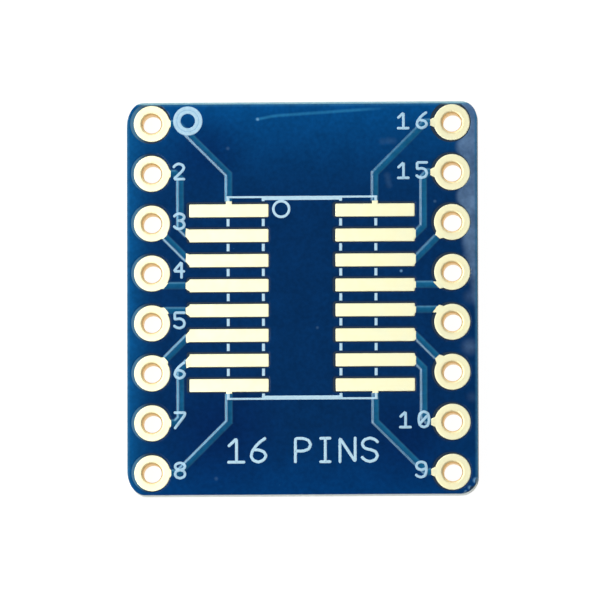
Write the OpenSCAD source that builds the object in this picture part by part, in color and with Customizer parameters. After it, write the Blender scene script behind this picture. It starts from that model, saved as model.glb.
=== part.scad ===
// Adapter board that fans a sixteen-lead surface-mount footprint out to two rows of pin holes.
// It lies flat with the chip side up and the pin rows along Y. Pin 1 is at the upper left, and the
// count runs down the left row and up the right one. The origin is under the middle of the board,
// level with the copper rings on the underside.

/* [Board] */
// Thickness of the bare laminate
laminate_t = 1.51; // [0.7:0.01:3.2]
// Distance from a pin row's centres to the long edge beside it
side_margin = 1.27; // [1.2:0.01:4]
// Distance from the end holes' centres to the short edges
end_margin = 1.11; // [1.05:0.01:4]
// Radius of the board's corners
corner_r = 0.9; // [0.3:0.05:1.1]
// Width of the bare bevel where the board was scored and snapped from its panel
score_w = 0.13; // [0.05:0.01:0.3]
// Depth of that bevel, on both faces
score_h = 0.4; // [0.1:0.01:0.6]

/* [Pin holes] */
// Spacing of the holes along a row
pin_pitch = 2.54; // [2.4:0.01:3]
// Distance between the two rows
row_gap = 15.24; // [15.1:0.01:20]
// Finished diameter of a hole
hole_d = 0.95; // [0.8:0.01:1.2]
// Thickness of the plating in a hole
plating_t = 0.03; // [0.02:0.005:0.06]
// Diameter of the copper ring round a hole
ring_d = 1.83; // [1.5:0.01:1.95]
// Radius of the rounding where the plating turns over into the ring
knee = 0.1; // [0.02:0.01:0.12]

/* [Chip pads] */
// Spacing of the pads along a column
pad_pitch = 1.27; // [1.2:0.01:1.4]
// Distance between the centres of the two columns
column_gap = 7.42; // [6:0.01:7.6]
// Length of a pad
pad_l = 4.03; // [2:0.01:4.3]
// Width of a pad
pad_w = 0.66; // [0.4:0.01:0.75]
// Cut across each corner of a pad
pad_corner = 0.05; // [0.01:0.005:0.1]

/* [Traces] */
// Thickness of the copper with its nickel and gold
copper_t = 0.045; // [0.03:0.005:0.08]
// Width of a trace
trace_w = 0.305; // [0.2:0.005:0.35]
// Straight run of the corner traces, from the pad's centre outwards
corner_run = 1.86; // [1:0.01:2.5]
// Distance of the second traces' long run from the ends of the pads
side_run = 0.445; // [0.36:0.005:0.6]
// Cut across the bend where a second trace turns along the board
bend = 0.25; // [0.1:0.01:0.5]

/* [Solder mask] */
// Thickness of the mask on the laminate
mask_t = 0.025; // [0.02:0.001:0.03]
// Thickness of the mask on the copper
mask_over_t = 0.018; // [0.01:0.001:0.03]
// Width of the slope beside a covered trace
shoulder = 0.08; // [0.04:0.005:0.12]
// Bare gap between the copper and the edge of a mask opening
mask_gap = 0.12; // [0.09:0.005:0.15]
// Shift of the top mask across the board, as it was printed
mask_shift_x = -0.07; // [-0.08:0.01:0.08]
// Shift of the top mask along the board
mask_shift_y = 0.03; // [-0.08:0.01:0.08]

/* [Legend] */
// Thickness of the ink
ink_t = 0.018; // [0.01:0.001:0.03]
// Width of the outlines' stroke
line_w = 0.155; // [0.1:0.005:0.25]
// Width of the wide chip body's outline
wide_body_w = 7.5; // [6:0.01:7.9]
// Length of that outline beyond the end pads' centres, both ends together
wide_body_over = 1.37; // [1.2:0.01:2]
// Width of the narrow chip body's outline
narrow_body_w = 3.93; // [3.6:0.01:5]
// Length of that outline beyond the end pads' centres, both ends together
narrow_body_over = 1.19; // [1.1:0.01:2]
// Outer diameter of the heavy ring beside the first hole
pin_ring_d = 1.54; // [1.2:0.01:1.7]
// Inner diameter of that ring
pin_ring_bore = 0.74; // [0.3:0.01:1]
// Distance of the heavy ring's centre from the first hole, across the board
pin_ring_x = 1.83; // [1.8:0.01:2.5]
// Distance of the heavy ring's centre from the first hole, along the board
pin_ring_y = 0.14; // [0:0.01:0.2]
// Outer diameter of the thin circle beside the first pad
pin_circle_d = 0.94; // [0.5:0.01:1.1]
// Stroke of that circle
pin_circle_w = 0.14; // [0.08:0.005:0.2]
// Distance of the thin circle's centre from the inner end of the first pad
pin_circle_x = 0.645; // [0.6:0.005:0.9]
// Distance of the thin circle's centre above the first pad's centre line
pin_circle_y = 0.075; // [-0.2:0.005:0.1]

/* [Hidden] */
$fn = 64;
pins_per_row = 8;
pins = 2 * pins_per_row;
middle = (pins_per_row - 1) / 2;
board_w = row_gap + 2 * side_margin;
board_l = (pins_per_row - 1) * pin_pitch + 2 * end_margin;
board_t = laminate_t + 2 * copper_t;
top_z = copper_t + laminate_t;
drill_d = hole_d + 2 * plating_t;
// How far the rounding may reach into the plating, level with the laminate's face
knee_bite = 0.6 * plating_t;
knee_r = min(knee, knee_bite + copper_t + sqrt(2 * knee_bite * copper_t));
ridge_h = copper_t + mask_over_t;
ridge_foot = trace_w + 2 * shoulder;
mask_end = board_l / 2 - score_w;
// How far a trace runs on into its pad
pad_lap = trace_w / 2;
// How far a cutter reaches past the face that it cuts
past = 0.5;

conductor_names = [for (pin = [1 : pins]) str("conductor_", pin)];

laminate_colour = "#c8c39a";
mask_colour = "#0b3f7c";
gold_colour = "#f0dc9c";
ink_colour = "#dfeaf0";

// Place of each pin: its side, its row counted from the nearer end, and whether it is in the far half.
function side_of(pin) = pin <= pins_per_row ? -1 : 1;
function row_of(pin) = pin <= pins_per_row ? pin - 1 : pins - pin;
function half_of(pin) = row_of(pin) <= middle ? 1 : -1;
function rank_of(pin) = abs(middle - row_of(pin));

// Points of one quarter of the board, which the other three quarters mirror.
function hole_at(rank) = [row_gap / 2, rank * pin_pitch];
function pad_at(rank) = [column_gap / 2, rank * pad_pitch];
function pad_end_at(rank) = pad_at(rank) + [pad_l / 2, 0];

// The part of the way from a to b that a slope of 45 degrees can cover.
function slope(a, b) =
    let (d = b - a, s = min(abs(d[0]), abs(d[1])))
    [sign(d[0]) * s, sign(d[1]) * s];
function is_slope(a, b) = abs(abs(b[0] - a[0]) - abs(b[1] - a[1])) < trace_w / 2;
function is_flat(a, b) = abs(b[0] - a[0]) > abs(b[1] - a[1]);

// A path that meets b while it runs across the board, and one that meets b along the board.
function across_to(a, b) =
    is_slope(a, b) ? [a, b] : is_flat(a, b) ? [a, a + slope(a, b), b] : [a, b - slope(a, b), b];
function along_to(a, b) =
    is_slope(a, b) ? [a, b] : is_flat(a, b) ? [a, b - slope(a, b), b] : [a, a + slope(a, b), b];

function unit(v) = v / norm(v);
function lengthened(path, d) =
    let (n = len(path) - 1)
    [for (i = [0 : n]) i < n ? path[i] : path[n] + d * unit(path[n] - path[n - 1])];

// Centre lines of the traces: the corner pin, the second pin and the inner pins.
function corner_route(rank) =
    concat(along_to(hole_at(rank), pad_at(rank) + [0, corner_run]), [pad_at(rank)]);
function second_route(rank) =
    let (hole = hole_at(rank), pad = pad_end_at(rank), x = pad[0] + side_run)
    lengthened([hole, [x + bend, hole[1]], [x, hole[1] - bend], [x, pad[1] + side_run], pad], pad_lap);
function inner_route(rank) = lengthened(across_to(hole_at(rank), pad_end_at(rank)), pad_lap);
function route(rank) =
    rank == middle ? corner_route(rank) : rank == middle - 1 ? second_route(rank) : inner_route(rank);

// A path moved sideways by d, with mitred corners.
function left_of(v) = [-v[1], v[0]];
function heading(path, i) = unit(path[i + 1] - path[i]);
function mitre(path, i, d) =
    let (a = left_of(heading(path, i - 1)), b = left_of(heading(path, i)))
    path[i] + d * (a + b) / (1 + a * b);
function beside(path, d) =
    let (n = len(path) - 1)
    [for (i = [0 : n])
        i == 0 ? path[0] + d * left_of(heading(path, 0))
        : i == n ? path[n] + d * left_of(heading(path, n - 1))
        : mitre(path, i, d)];
function reversed(list) = [for (i = [len(list) - 1 : -1 : 0]) list[i]];

module ribbon(path, w) {
    polygon(concat(beside(path, w / 2), reversed(beside(path, -w / 2))));
}

// A bank with sloped sides along a path: foot_w wide at the bottom and top_w wide at height h.
module bank(path, foot_w, top_w, h) {
    n = len(path) - 1;
    foot_l = beside(path, foot_w / 2);
    foot_r = beside(path, -foot_w / 2);
    top_l = beside(path, top_w / 2);
    top_r = beside(path, -top_w / 2);
    corners = [for (i = [0 : n]) each [
        [foot_l[i][0], foot_l[i][1], 0],
        [foot_r[i][0], foot_r[i][1], 0],
        [top_r[i][0], top_r[i][1], h],
        [top_l[i][0], top_l[i][1], h]
    ]];
    walls = [for (i = [0 : n - 1]) each [
        for (k = [0 : 3]) let (j = (k + 1) % 4) [4 * i + k, 4 * i + j, 4 * i + 4 + j, 4 * i + 4 + k]
    ]];
    polyhedron(corners, concat(walls, [[3, 2, 1, 0], [4 * n, 4 * n + 1, 4 * n + 2, 4 * n + 3]]));
}

// Moves a shape from the first quarter of the board to the quarter of a pin.
module in_quarter(pin) {
    mirror([side_of(pin) < 0 ? 1 : 0, 0, 0])
        mirror([0, half_of(pin) < 0 ? 1 : 0, 0])
            children();
}

module at_hole(pin) {
    translate([side_of(pin) * row_gap / 2, half_of(pin) * rank_of(pin) * pin_pitch, 0])
        children();
}

module at_pad(pin) {
    translate([side_of(pin) * column_gap / 2, half_of(pin) * rank_of(pin) * pad_pitch, 0])
        children();
}

module every_pin() {
    for (pin = [1 : pins])
        in_quarter(pin) route_shape(rank_of(pin));
}

module route_shape(rank) {
    ribbon(route(rank), trace_w);
}

// A rectangle with its corners cut off.
module pad_shape(l, w, cut) {
    x = l / 2;
    y = w / 2;
    polygon([
        [x - cut, -y], [x, cut - y], [x, y - cut], [x - cut, y],
        [cut - x, y], [-x, y - cut], [-x, cut - y], [cut - x, -y]
    ]);
}

module board_outline() {
    square([board_w - 2 * corner_r, board_l], center = true);
    square([board_w, board_l - 2 * corner_r], center = true);
    for (x = [-1, 1], y = [-1, 1])
        translate([x * (board_w / 2 - corner_r), y * (board_l / 2 - corner_r)])
            circle(corner_r);
}

// The outline short of the bare bevel.
module mask_outline() {
    intersection() {
        board_outline();
        translate([-board_w, mask_end - 2 * board_l])
            square([2 * board_w, 2 * board_l]);
    }
}

module score_cut() {
    rotate([90, 0, 90])
        linear_extrude(board_w + 2 * past, center = true)
            polygon([
                [mask_end, top_z], [mask_end, top_z + past], [board_l / 2 + past, top_z + past],
                [board_l / 2 + past, top_z - score_h], [board_l / 2, top_z - score_h]
            ]);
}

// Glass-fibre laminate with its drilled holes.
module laminate() {
    color(laminate_colour)
    difference() {
        translate([0, 0, copper_t])
            linear_extrude(laminate_t)
                board_outline();
        for (pin = [1 : pins])
            at_hole(pin)
                cylinder(d = drill_d, h = board_t + past);
        score_cut();
        translate([0, 0, board_t])
            mirror([0, 0, 1])
                score_cut();
    }
}

// The hole through a conductor, rounded over into the rings at both ends.
module bore_cut() {
    mouth = [for (a = [0 : 15 : 90]) [hole_d / 2 + knee_r * (1 - cos(a)), knee_r * (1 - sin(a))]];
    wide = hole_d / 2 + knee_r;
    rotate_extrude()
        polygon(concat(
            [[0, -past], [wide, -past]],
            reversed(mouth),
            [for (p = mouth) [p[0], board_t - p[1]]],
            [[wide, board_t + past], [0, board_t + past]]
        ));
}

// One net: plated hole, both rings, trace and chip pad, all of one copper.
module conductor(pin) {
    rank = rank_of(pin);
    color(gold_colour)
    in_quarter(pin)
    difference() {
        union() {
            translate([0, 0, top_z])
                linear_extrude(copper_t) {
                    translate(hole_at(rank)) circle(d = ring_d);
                    route_shape(rank);
                    translate(pad_at(rank)) pad_shape(pad_l, pad_w, pad_corner);
                }
            translate(hole_at(rank)) cylinder(d = drill_d, h = board_t);
            translate(hole_at(rank)) cylinder(d = ring_d, h = copper_t);
        }
        translate(hole_at(rank)) bore_cut();
    }
}

// Mask as it lies on the board before it is opened: a skin with a bank over each trace.
module mask_skin(covered) {
    linear_extrude(mask_t) mask_outline();
    for (pin = covered)
        in_quarter(pin)
            bank(route(rank_of(pin)), ridge_foot, trace_w, ridge_h);
}

// Openings in the top mask, a little off the copper as they were printed.
module mask_openings() {
    translate([mask_shift_x, mask_shift_y])
        for (pin = [1 : pins]) {
            at_hole(pin) circle(d = ring_d + 2 * mask_gap);
            at_pad(pin) pad_shape(pad_l + 2 * mask_gap, pad_w + 2 * mask_gap, pad_corner + mask_gap / 2);
        }
}

module solder_mask_top() {
    color(mask_colour)
    translate([0, 0, top_z])
    difference() {
        mask_skin([1 : pins]);
        translate([0, 0, -past]) linear_extrude(ridge_h + 2 * past) mask_openings();
        translate([0, 0, -past]) linear_extrude(copper_t + past) every_pin();
    }
}

module solder_mask_bottom() {
    color(mask_colour)
    translate([0, 0, copper_t - mask_t])
    linear_extrude(mask_t)
    difference() {
        mask_outline();
        for (pin = [1 : pins])
            at_hole(pin) circle(d = ring_d + 2 * mask_gap);
    }
}

// Ink of even thickness over the mask and the banks that it crosses, broken at the openings.
module printed(crossed) {
    translate([0, 0, top_z])
    difference() {
        intersection() {
            translate([0, 0, ink_t]) mask_skin(crossed);
            linear_extrude(ridge_h + 2 * ink_t)
                difference() {
                    children();
                    mask_openings();
                }
        }
        mask_skin(crossed);
    }
}

module frame_shape(w, l) {
    difference() {
        square([w + line_w, l + line_w], center = true);
        square([w - line_w, l - line_w], center = true);
    }
}

module outlines_shape() {
    pads_l = (pins_per_row - 1) * pad_pitch;
    frame_shape(wide_body_w, pads_l + wide_body_over);
    frame_shape(narrow_body_w, pads_l + narrow_body_over);
}

// Outlines of the two chip bodies that fit.
module chip_outlines() {
    color(ink_colour)
    printed([1, pins_per_row, pins_per_row + 1, pins])
    outlines_shape();
}

// Heavy ring beside the first hole.
module pin_one_ring() {
    color(ink_colour)
    printed([1])
    at_hole(1)
    translate([pin_ring_x, pin_ring_y])
    difference() {
        circle(d = pin_ring_d);
        circle(d = pin_ring_bore);
    }
}

// Thin circle beside the first pad, which runs into the outline above it.
module pin_one_circle() {
    color(ink_colour)
    printed([])
    difference() {
        at_pad(1)
        translate([pad_l / 2 + pin_circle_x, pin_circle_y])
        difference() {
            circle(d = pin_circle_d);
            circle(d = pin_circle_d - 2 * pin_circle_w);
        }
        outlines_shape();
    }
}

laminate();
solder_mask_top();
solder_mask_bottom();
for (pin = [1 : pins])
    conductor(pin);
chip_outlines();
pin_one_ring();
pin_one_circle();
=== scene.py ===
from functools import partial
import math

import bmesh
import bpy
import numpy as np
from mathutils import Matrix, Vector
from mathutils.geometry import delaunay_2d_cdt


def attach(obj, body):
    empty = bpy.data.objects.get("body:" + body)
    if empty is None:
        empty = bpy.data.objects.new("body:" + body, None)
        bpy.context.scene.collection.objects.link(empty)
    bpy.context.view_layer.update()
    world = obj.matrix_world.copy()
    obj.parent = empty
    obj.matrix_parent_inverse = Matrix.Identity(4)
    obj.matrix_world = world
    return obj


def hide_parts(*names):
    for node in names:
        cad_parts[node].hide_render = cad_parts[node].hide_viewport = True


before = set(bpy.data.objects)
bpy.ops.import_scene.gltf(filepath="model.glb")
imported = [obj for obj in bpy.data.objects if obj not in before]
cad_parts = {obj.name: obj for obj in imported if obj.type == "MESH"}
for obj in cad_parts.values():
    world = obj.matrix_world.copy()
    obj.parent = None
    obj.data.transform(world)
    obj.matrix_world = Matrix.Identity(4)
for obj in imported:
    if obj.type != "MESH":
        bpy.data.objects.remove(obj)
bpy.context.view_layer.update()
mm = 0.001  # shapes are worked out in mm and stored in metres
quarterTurn, halfTurn, fullTurn = math.pi / 2, math.pi, 2 * math.pi
chance = np.random.default_rng(16)
print("frame loaded,", len(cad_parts), "nodes")


# Colours and nodes

blend = {"out": 2, "data_type": "RGBA"}  # settings that many nodes share
times = {"operation": "MULTIPLY"}
smooth = {"interpolation_type": "SMOOTHSTEP"}


def linear(hexColour):  # sRGB hex to linear RGBA
    srgb = np.array([int(hexColour[i:i + 2], 16) for i in (1, 3, 5)]) / 255
    rgb = np.where(srgb <= 0.04045, srgb / 12.92, ((srgb + 0.055) / 1.055) ** 2.4)
    return (*rgb.tolist(), 1.0)


def addNode(tree, kind, sockets=(), out=0, **settings):
    # a new node's output, or all if out is None; each socket is linked, or set to a constant or hex colour
    node = tree.nodes.new("ShaderNode" + kind)
    for key, value in settings.items():
        setattr(node, key, value)
    for socket, value in (sockets if isinstance(sockets, dict) else dict(enumerate(sockets))).items():
        if isinstance(value, bpy.types.NodeSocket):
            tree.links.new(value, node.inputs[socket])
        else:
            node.inputs[socket].default_value = linear(value) if isinstance(value, str) else value
    return node.outputs if out is None else node.outputs[out]


def newFinish(name, surface):  # material with its constants, a way to add nodes, and the place in mm
    finish = bpy.data.materials.new(name)
    finish.use_nodes = True
    shader = finish.node_tree.nodes["Principled BSDF"]
    for socket, value in surface.items():
        shader.inputs[socket].default_value = value
    add = partial(addNode, finish.node_tree)
    place = add("VectorMath", (add("TexCoord", out="Object"), (1 / mm,) * 3), **times)
    return finish, add, place


def dress(finish, colour, height, bump, roughness=None):  # links the shader's sockets
    tree = finish.node_tree
    relief = addNode(tree, "Bump", {"Height": height, **bump})
    for socket, source in (("Base Color", colour), ("Normal", relief), ("Roughness", roughness)):
        if source is not None:
            tree.links.new(source, tree.nodes["Principled BSDF"].inputs[socket])


# Layout of the board, in mm from its middle, as in the solids

layout = {
    "halfWidth": 8.89, "halfLength": 10.0, "corner": 0.9,
    "westCorner": 1.25,  # the west corners are worn down further along the side
    "holeColumn": 7.62, "pinPitch": 2.54,
    "padColumn": 3.71, "padPitch": 1.27,
    "ringOpening": 1.035, "padOpening": (2.135, 0.45),  # openings of the top mask
    "maskShift": np.array([-0.07, 0.03]),  # and how far they are off the copper
    "routes": [  # bends of each trace of the north-east quarter, middle row first
        [(7.62, 1.27), (6.985, 0.635), (5.5725, 0.635)],
        [(7.62, 3.81), (5.6175, 1.797)],
        [(7.62, 6.35), (6.42, 6.35), (6.17, 6.1), (6.17, 3.62), (5.617, 3.067)],
        [(7.62, 8.89), (6.295, 8.89), (3.71, 6.305), (3.71, 4.445)],
    ],
}
boardTop, boardFoot, copperTop = 1.555, 0.045, 1.6  # heights of the laminate's faces and of the copper
perQuarter = len(layout["routes"])
perSide = 2 * perQuarter
pins = range(1, 2 * perSide + 1)  # down the west side, then up the east side


def quarterOf(pin):  # signs of x and y, and the row counted from the middle
    row = pin - 1 if pin <= perSide else 2 * perSide - pin
    sign = np.array([-1.0 if pin <= perSide else 1.0, 1.0 if row < perQuarter else -1.0])
    return sign, (perQuarter - 1 - row if row < perQuarter else row - perQuarter)


def holeAt(pin):
    sign, row = quarterOf(pin)
    return sign * (layout["holeColumn"], layout["pinPitch"] * (row + 0.5))


def padAt(pin):
    sign, row = quarterOf(pin)
    return sign * (layout["padColumn"], layout["padPitch"] * (row + 0.5))


def routeOf(pin):
    sign, row = quarterOf(pin)
    return sign * np.array(layout["routes"][row])


# Shapes

meshing = {
    "weld": 2e-8, "sliver": 1e-8,  # points this near are joined, slivers this thin dropped, in metres
    "hardEdge": 50,  # degrees between faces
    "fillGap": 1e-6,  # mm between corners of a filled face
}


def unit(vectors):
    return vectors / np.linalg.norm(vectors, axis=-1, keepdims=True)


def gridFaces(rows, columns):  # quads between the rows of a grid whose rows are closed loops
    r, c = np.meshgrid(np.arange(rows - 1), np.arange(columns), indexing="ij")
    n = (c + 1) % columns
    quads = [r * columns + c, r * columns + n, (r + 1) * columns + n, (r + 1) * columns + c]
    return np.stack(quads, -1).reshape(-1, 4)


def tube(grid, capped=True):  # shell of a grid (rows, columns, 3) of closed loops, with its ends filled
    rows, columns = grid.shape[:2]
    faces = gridFaces(rows, columns).tolist()
    if capped:
        faces += [list(range(columns)), list(range((rows - 1) * columns, rows * columns))]
    return grid.reshape(-1, 3), faces


def line(start, end, count):
    return np.linspace(start, end, count, endpoint=False)


def arc(centre, radius, start, end, count):
    angle = np.linspace(start, end, count, endpoint=False)
    return np.asarray(centre) + np.asarray(radius) * np.stack([np.cos(angle), np.sin(angle)], -1)


def roundedLoop(centre, half, corner, grow, count=9):
    # rectangle with round corners, its sides moved out by grow: one arc about each corner's centre
    x, y = np.asarray(half) - corner
    turns = zip([(x, y), (-x, y), (-x, -y), (x, -y)], np.arange(4) * quarterTurn)
    return np.concatenate([
        np.asarray(centre) + arc(c, corner + grow, a, a + quarterTurn * count / (count - 1), count)
        for c, a in turns])


def atHeight(points, z):  # flat points of any grid, lifted to z
    return np.concatenate([points, np.broadcast_to(z, points.shape[:-1])[..., None]], -1)


def lengths(path):  # distance of each bend along the path
    return np.concatenate([[0], np.cumsum(np.linalg.norm(np.diff(path, axis=0), axis=1))])


def spotsAt(distance, path):  # points at these distances along the path
    length = lengths(path)
    return np.column_stack([np.interp(distance, length, path[:, i]) for i in (0, 1)])


def normals(path):  # unit normal of each leg
    way = np.diff(path, axis=0)
    return unit(np.column_stack([-way[:, 1], way[:, 0]]))


def mitres(path):
    # sideways step at each bend: the unit normal at the ends, the mitre of the two normals between
    normal = normals(path)
    both = normal[:-1] + normal[1:]
    inner = both / (1 + (normal[:-1] * normal[1:]).sum(1))[:, None]
    return np.concatenate([normal[:1], inner, normal[-1:]])


def within(spots, start, end):  # an odd number of edges lies east of a spot that is within the sheet
    x, y = spots[:, :1], spots[:, 1:]
    level = (start[:, 1] > y) != (end[:, 1] > y)
    rise = np.where(level, end[:, 1] - start[:, 1], 1)
    return (level & (x < start[:, 0] + (end - start)[:, 0] * (y - start[:, 1]) / rise)).sum(1) % 2 == 1


def plate(stacks):
    # sheet with openings: each stack is one edge, loops from the first face to the last;
    # the two faces are filled between the edges' first and last loops
    starts = np.cumsum([0] + [s.shape[0] * s.shape[1] for s in stacks])
    sizes = [s.shape[1] for s in stacks]
    faces = []
    for start, s in zip(starts, stacks):
        faces += (gridFaces(*s.shape[:2]) + start).tolist()
    flat = np.concatenate([s[-1, :, :2] for s in stacks])
    after = np.concatenate([np.roll(np.arange(n), -1) + a for a, n in zip(np.cumsum([0] + sizes), sizes)])
    edges = np.column_stack([np.arange(len(flat)), after])
    filled = delaunay_2d_cdt([Vector(p) for p in flat], edges.tolist(), [], 0, meshing["fillGap"])
    found, sources = filled[2:4]
    triangles = np.array([[sources[corner][0] for corner in face] for face in found])
    triangles = triangles[within(flat[triangles].mean(1), flat, flat[after])]
    first = np.concatenate([start + np.arange(n) for start, n in zip(starts, sizes)])
    last = np.concatenate([start + (s.shape[0] - 1) * n + np.arange(n)
                           for start, s, n in zip(starts, stacks, sizes)])
    faces += first[triangles].tolist() + last[triangles].tolist()
    return np.concatenate([s.reshape(-1, 3) for s in stacks]), faces


def makePiece(name, shells, finish, replaced, marks=None):
    # joins shells of (points, faces), closes seams and poles, turns faces outwards
    starts = np.cumsum([0] + [len(points) for points, faces in shells])
    mesh = bpy.data.meshes.new(name)
    mesh.from_pydata(
        (np.concatenate([points for points, faces in shells]) * mm).tolist(), [],
        [[start + corner for corner in face] for start, shell in zip(starts, shells) for face in shell[1]])
    for key, values in (marks or {}).items():
        layer = mesh.attributes.new(key, "FLOAT", "POINT")
        layer.data.foreach_set("value", np.concatenate(values).astype(np.float32))
    shape = bmesh.new()
    shape.from_mesh(mesh)
    bmesh.ops.remove_doubles(shape, verts=shape.verts, dist=meshing["weld"])
    bmesh.ops.dissolve_degenerate(shape, edges=shape.edges, dist=meshing["sliver"])
    bmesh.ops.recalc_face_normals(shape, faces=shape.faces)
    shape.to_mesh(mesh)
    shape.free()
    mesh.polygons.foreach_set("use_smooth", np.ones(len(mesh.polygons), bool))
    mesh.set_sharp_from_angle(angle=math.radians(meshing["hardEdge"]))
    mesh.materials.append(finish)
    piece = bpy.data.objects.new(name, mesh)
    bpy.context.scene.collection.objects.link(piece)
    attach(piece, "root")
    if replaced:
        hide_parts(*replaced)


# Laminate: glass cloth in epoxy, routed on three sides, scored and snapped on the fourth

laminate = {
    "drill": 0.505, "drillPoints": 64, "levels": 31,
    "outlinePoints": (120, 180, 20),  # along a routed side, the snapped end and a corner
    "scoreWidth": 0.13, "scoreDepth": 0.4, "scoreBulge": 2.0,
    "snapStart": 0.8,  # share of the score's depth where the torn face starts
    "routedRough": 0.004, "snappedRough": 0.02, "roughGain": 2.2,
    "waveCount": 14, "wavePitch": (2, 24), "wavePhase": (0, 6.28), "waveTwist": (-9, 9),
    # the grey-blue of the east side is painted shade
    "straw": "#C6C9B4", "epoxy": "#B0B08E", "pale": "#EDF0EA", "grimy": "#5A6678",
    "etchedShade": "#1A2E42", "veiled": "#3F6E8C",
    "scored": "#578FA4", "snapped": "#9BBEC3", "stain": "#74A6B4",
    # the dull surface of cut fibres, and patterns scaled by their size in mm; a wave has 20 radians to a unit
    "surface": {"Roughness": 0.62, "IOR": 1.55, "Specular IOR Level": 0.2},
    "plies": {"Scale": fullTurn / 20 / 0.1194, "Distortion": 1.2, "Detail": 2.0, "Detail Scale": 1.5},
    "yarn": {"Scale": 1 / 0.55, "Detail": 5.0, "Roughness": 0.6},
    "crumbs": {"Scale": 1 / 0.35, "Detail": 5.0, "Roughness": 0.7},
    "plyShare": 0.55, "staining": (0.42, 0.68), "bump": {"Strength": 0.6, "Distance": 0.012 * mm},
    "zones": {  # axis, where each zone starts and is full in mm, and its most
        "milled": ("Y", -9.3, -9.9, 0.9), "handled": ("X", 8.8, 8.87, 0.9), "runDown": ("Z", 1.0, 1.5, 0.75),
        "onTop": ("Z", 1.545, 1.553, 1), "fromEast": ("X", 8.86, 8.78, 1), "fromWest": ("X", -8.86, -8.78, 1),
        "fromNorth": ("Y", 9.9, 9.78, 1), "fromSouth": ("Y", -9.97, -9.9, 1),
        "byMask": ("Y", 9.93, 9.86, 1), "atNorth": ("Y", 9.8, 9.86, 1), "upper": ("Z", 1.1, 1.25, 1),
    },
    "westGapLightReach": (-7.75, -8.5),
}
roughPitch, roughPhase, roughTwist = [chance.uniform(*laminate[key], laminate["waveCount"])
                                      for key in ("wavePitch", "wavePhase", "waveTwist")]


def boardOutline(z):
    # round-cornered rectangle; its north side is cut back by the score near each face,
    # and each side is roughened inwards by sums of sines of random pitch
    r, long = layout["corner"], layout["westCorner"]
    x, y, westY = layout["halfWidth"] - r, layout["halfLength"] - r, layout["halfLength"] - long
    side, end, turn = laminate["outlinePoints"]
    loop = np.concatenate([
        line((-x, -y - r), (x, -y - r), side), arc((x, -y), r, -quarterTurn, 0, turn),
        line((x + r, -y), (x + r, y), side), arc((x, y), r, 0, quarterTurn, turn),
        line((x, y + r), (-x, y + r), end), arc((-x, westY), (r, long), quarterTurn, halfTurn, turn),
        line((-x - r, westY), (-x - r, -westY), side),
        arc((-x, -westY), (r, long), halfTurn, halfTurn + quarterTurn, turn)])
    depth = min(z - boardFoot, boardTop - z) / laminate["scoreDepth"]
    score = laminate["scoreWidth"] * max(0.0, 1 - depth) ** laminate["scoreBulge"]
    torn = float(np.clip((depth - laminate["snapStart"]) / (1 - laminate["snapStart"]), 0, 1))
    waves = np.sin(loop[:, :1] * roughPitch + loop[:, 1:] * roughPitch[::-1] + roughPhase + z * roughTwist)
    rough = 0.5 + 0.5 * np.clip(waves.mean(1) * laminate["roughGain"], -1, 1)
    loop = loop - unit(loop) * (rough * laminate["routedRough"])[:, None]
    north = layout["halfLength"] - score - rough * torn * laminate["snappedRough"]
    loop[:, 1] = np.minimum(loop[:, 1], north)
    return atHeight(loop, z)


# Glass-fibre laminate (FR4), pressed from plies of glass cloth: pale straw-green epoxy, milky where
# it is cut because the fibre ends scatter light, and dark in the etched gaps beside the copper: partly its
# own colour, partly painted shade
glassLaminate, add, place = newFinish("glassLaminate", laminate["surface"])
axes = add("SeparateXYZ", (place,), None)
share = {}
for zone, (axis, start, full, most) in laminate["zones"].items():
    share[zone] = add("MapRange", (axes[axis], start, full, 0, most))
plies = add("TexWave", {0: place, **laminate["plies"]}, "Fac", bands_direction="Z")
yarn = add("TexNoise", {0: place, **laminate["yarn"]})
cutTone = add("Math", (plies, laminate["plyShare"]), **times)
cutTone = add("Math", (cutTone, yarn), **times)
cutColour = add("Mix", {0: cutTone, 6: laminate["straw"], 7: laminate["epoxy"]}, **blend)
# the south side is paler, the east side is darkened with painted shade where it faces away from the west
# light, and mask has run down from the top
for zone, colour in (("milled", "pale"), ("handled", "grimy"), ("runDown", "veiled")):
    cutColour = add("Mix", {0: share[zone], 6: cutColour, 7: laminate[colour]}, **blend)
# the gaps between copper and mask are darkened, partly with painted shade
etchedShade = share["onTop"]
for zone in ("fromEast", "fromWest", "fromNorth", "fromSouth"):
    etchedShade = add("Math", (etchedShade, share[zone]), **times)
# the gaps are painted lighter and bluer towards the west edge, painted light from the west, and crumbs of
# mask resin stain the snapped end
westGapLight = add("MapRange", (axes["X"], *laminate["westGapLightReach"]), **smooth)
gapColour = add("Mix", {0: westGapLight, 6: laminate["etchedShade"], 7: laminate["veiled"]}, **blend)
crumbs = add("TexNoise", {0: place, **laminate["crumbs"]})
stained = add("MapRange", (crumbs, *laminate["staining"]))
endColour = add("Mix", {0: stained, 6: laminate["snapped"], 7: laminate["stain"]}, **blend)
endColour = add("Mix", {0: share["byMask"], 6: endColour, 7: laminate["scored"]}, **blend)
scored = add("Math", (share["atNorth"], share["upper"]), **times)
sideColour = add("Mix", {0: scored, 6: cutColour, 7: endColour}, **blend)
boardColour = add("Mix", {0: etchedShade, 6: sideColour, 7: gapColour}, **blend)
dress(glassLaminate, boardColour, cutTone, laminate["bump"])

levels = np.linspace(boardFoot, boardTop, laminate["levels"])
drilled = [np.stack([atHeight(arc(holeAt(pin), laminate["drill"], 0, fullTurn, laminate["drillPoints"]), z)
                     for z in levels[[0, -1]]]) for pin in pins]
sides = np.stack([boardOutline(z) for z in levels])
makePiece("board_laminate", [plate([sides] + drilled)], glassLaminate, ["laminate"])
print("laminate built,", len(levels), "levels")


# Copper nets: ring and barrel in the hole, trace, and chip pad, all gold plated

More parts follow.
